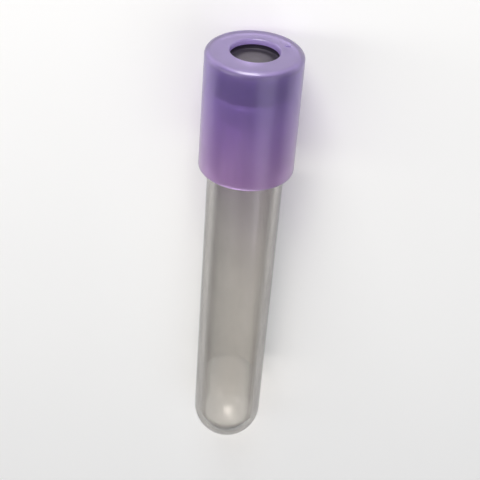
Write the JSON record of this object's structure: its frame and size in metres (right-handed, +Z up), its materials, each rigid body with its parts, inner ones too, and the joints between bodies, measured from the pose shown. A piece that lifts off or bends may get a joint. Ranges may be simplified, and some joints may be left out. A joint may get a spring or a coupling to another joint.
{
  "type": "blood collection tube",
  "caption": "Round-bottomed clear plastic tube lying on its side, closed by a dark rubber stopper inside a lavender translucent cap with a central hole.",
  "frame": {"origin": "on the surface that the tube lies on, under the middle of its length", "axes": "+X along the lying tube towards its closure, +Z up; the tube's own axis rises 1.96 degrees from +X because the closure is wider than the tube"},
  "size_m": [0.0812, 0.016, 0.0167],
  "materials": {
    "clear_plastic": "gloss",
    "dark_rubber": "matte",
    "lavender_plastic": "satin",
    "label_film": "satin"
  },
  "bodies": {
    "tube": {"tube": "clear_plastic", "label": "label_film"},
    "closure": {"shield": "lavender_plastic", "stopper": "dark_rubber"}
  },
  "joints": [
    {"name": "closure_pull", "type": "slide", "parent": "tube", "child": "closure", "axis": [0.9994, 0, 0.0343], "range_m": [0, 0.03]}
  ]
}
